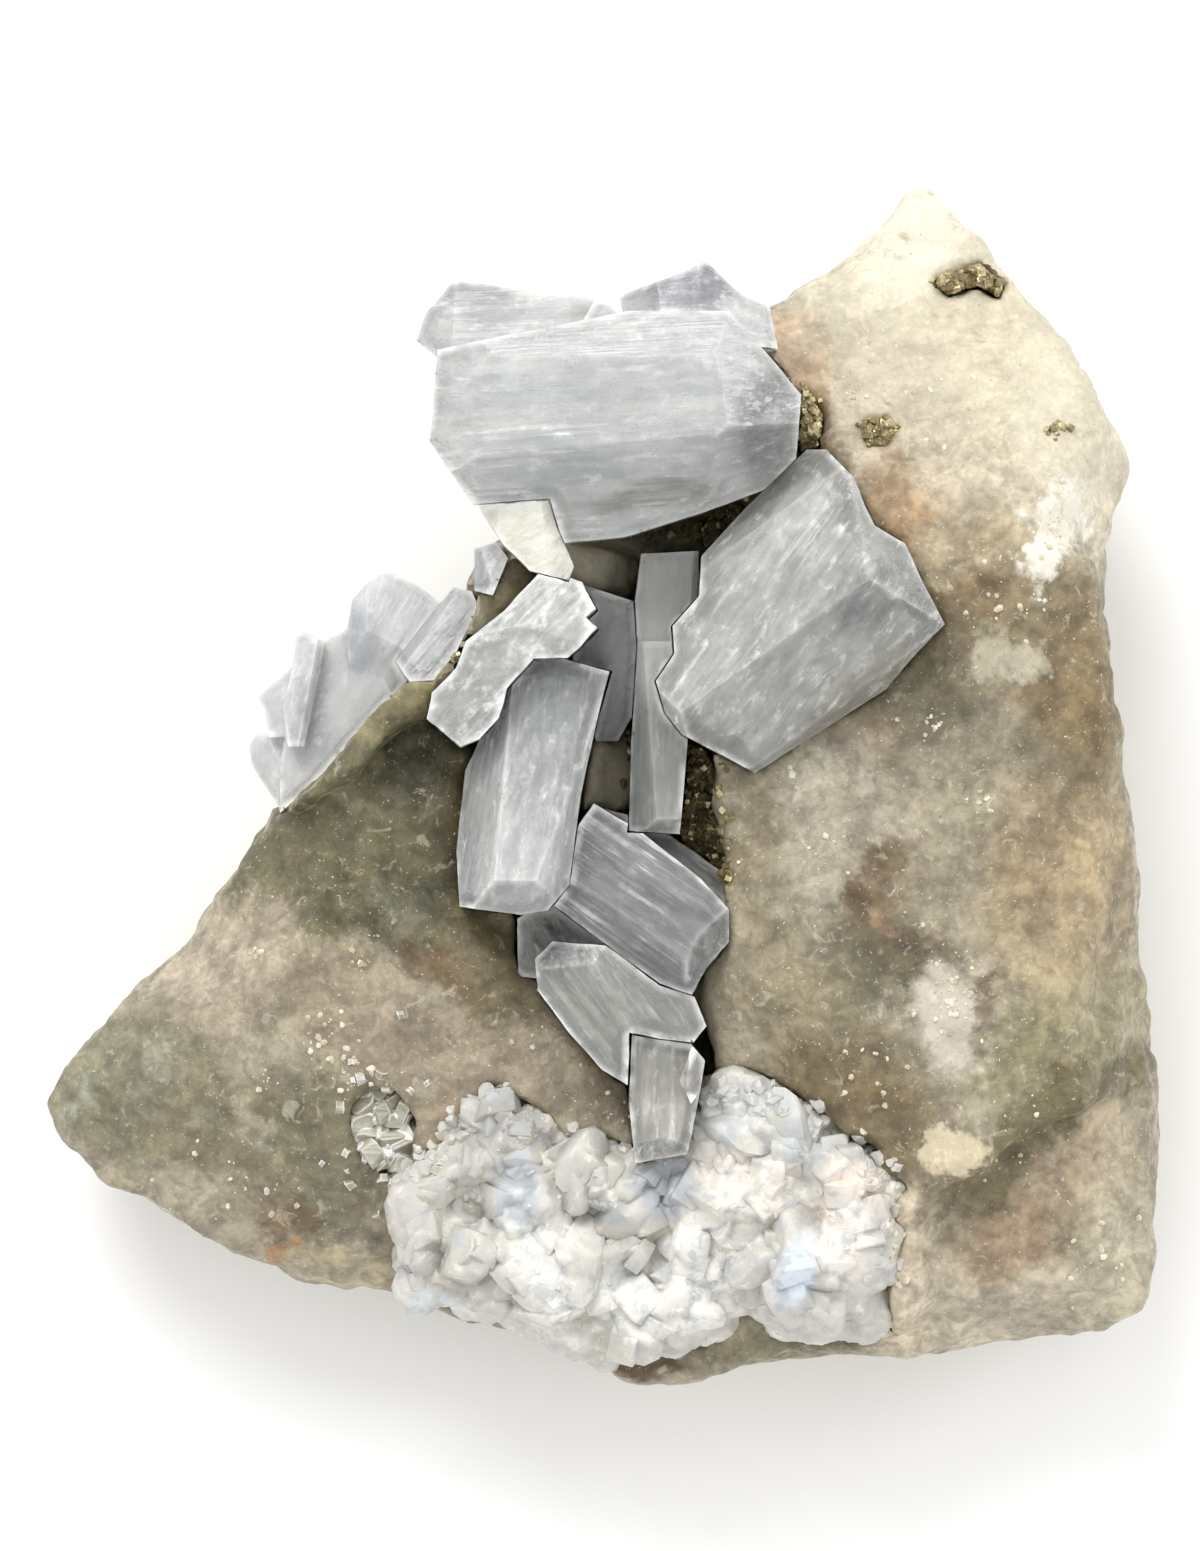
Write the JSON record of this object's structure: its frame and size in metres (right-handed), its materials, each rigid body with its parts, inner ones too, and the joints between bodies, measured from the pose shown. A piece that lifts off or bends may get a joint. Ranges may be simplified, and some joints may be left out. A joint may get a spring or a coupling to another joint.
{
  "type": "blue barite crystal specimen",
  "caption": "Mineral specimen: pale blue barite tablets and prisms with a white barite crust on a broken, pyrite-flecked rock matrix that lies flat.",
  "frame": {"origin": "middle of the footprint, on the flat underside that the specimen rests on", "axes": "+X across the face towards the right, +Y up the face towards the pointed top of the matrix, +Z out of the face, upwards as it lies"},
  "size_m": [0.074, 0.0804, 0.0345],
  "materials": {
    "matrix_rock": "waxy, finely granular, stained olive, brown and cream",
    "white_crust": "sugary, milky white",
    "blue_barite": "glassy, cloudy pale blue-grey, striated",
    "grey_barite": "glassy, darker blue-grey",
    "milky_barite": "milky white with a blue tint",
    "cream_barite": "opaque cream",
    "pyrite": "small brassy cubes"
  },
  "bodies": {
    "root": {"matrix": "matrix_rock", "barite_crust": "white_crust", "top_crystals": "blue_barite", "block_crystal": "blue_barite", "left_prism": "blue_barite", "slant_prism": "blue_barite", "lower_prism": "blue_barite", "end_prism": "blue_barite", "blade_crystal": "grey_barite", "rear_blade": "grey_barite", "ridge_crystal": "milky_barite", "side_crystals": "blue_barite", "rim_tablet": "blue_barite", "rim_point": "blue_barite", "cream_wedge": "cream_barite", "hollow_crystals": "milky_barite", "pyrite_seam": "pyrite", "pyrite_step": "pyrite", "pyrite_notch": "pyrite", "pyrite_shoulder": "pyrite", "pyrite_apex": "pyrite"}
  },
  "joints": []
}
